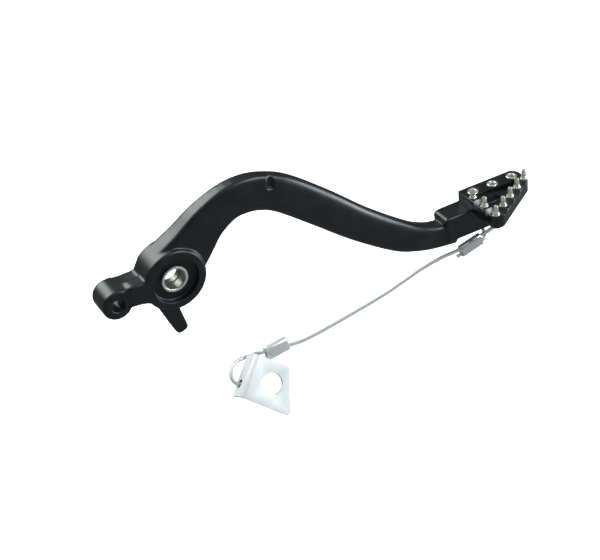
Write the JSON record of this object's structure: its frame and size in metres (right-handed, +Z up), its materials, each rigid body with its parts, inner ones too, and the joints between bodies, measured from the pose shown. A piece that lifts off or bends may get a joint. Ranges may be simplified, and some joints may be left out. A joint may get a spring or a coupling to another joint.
{
  "type": "motorbike rear brake pedal",
  "caption": "Forged S-shaped rear brake pedal with a pivot hub, a screwed-on cleated toe tip, and a steel safety cable to a folded anchor bracket.",
  "frame": {"origin": "centre of the pivot bush's bore, midway along the bush", "axes": "+X points forward along the pedal to its toe tip, +Y inboard along the pivot axis towards the motorbike, +Z up"},
  "size_m": [0.2939, 0.062, 0.1736],
  "materials": {
    "anodised_arm": "satin black anodised",
    "anodised_tip": "black anodised, machined",
    "bush_steel": "bright",
    "screw_steel": "bright",
    "cleat_steel": "bright",
    "cable_steel": "stranded, in a clear sheath",
    "ferrule_aluminium": "bright",
    "bracket_aluminium": "satin silver"
  },
  "bodies": {
    "root": {"pedal_arm": "anodised_arm", "pivot_bush": "bush_steel", "toe_tip": "anodised_tip", "tip_screw_rear": "screw_steel", "tip_screw_middle": "screw_steel", "tip_screw_front": "screw_steel", "cleat_1": "cleat_steel", "cleat_2": "cleat_steel", "cleat_3": "cleat_steel", "cleat_4": "cleat_steel", "cleat_5": "cleat_steel", "cleat_6": "cleat_steel", "cleat_7": "cleat_steel", "safety_cable": "cable_steel", "front_ferrule": "ferrule_aluminium", "rear_ferrule": "ferrule_aluminium", "anchor_bracket": "bracket_aluminium"}
  },
  "joints": []
}
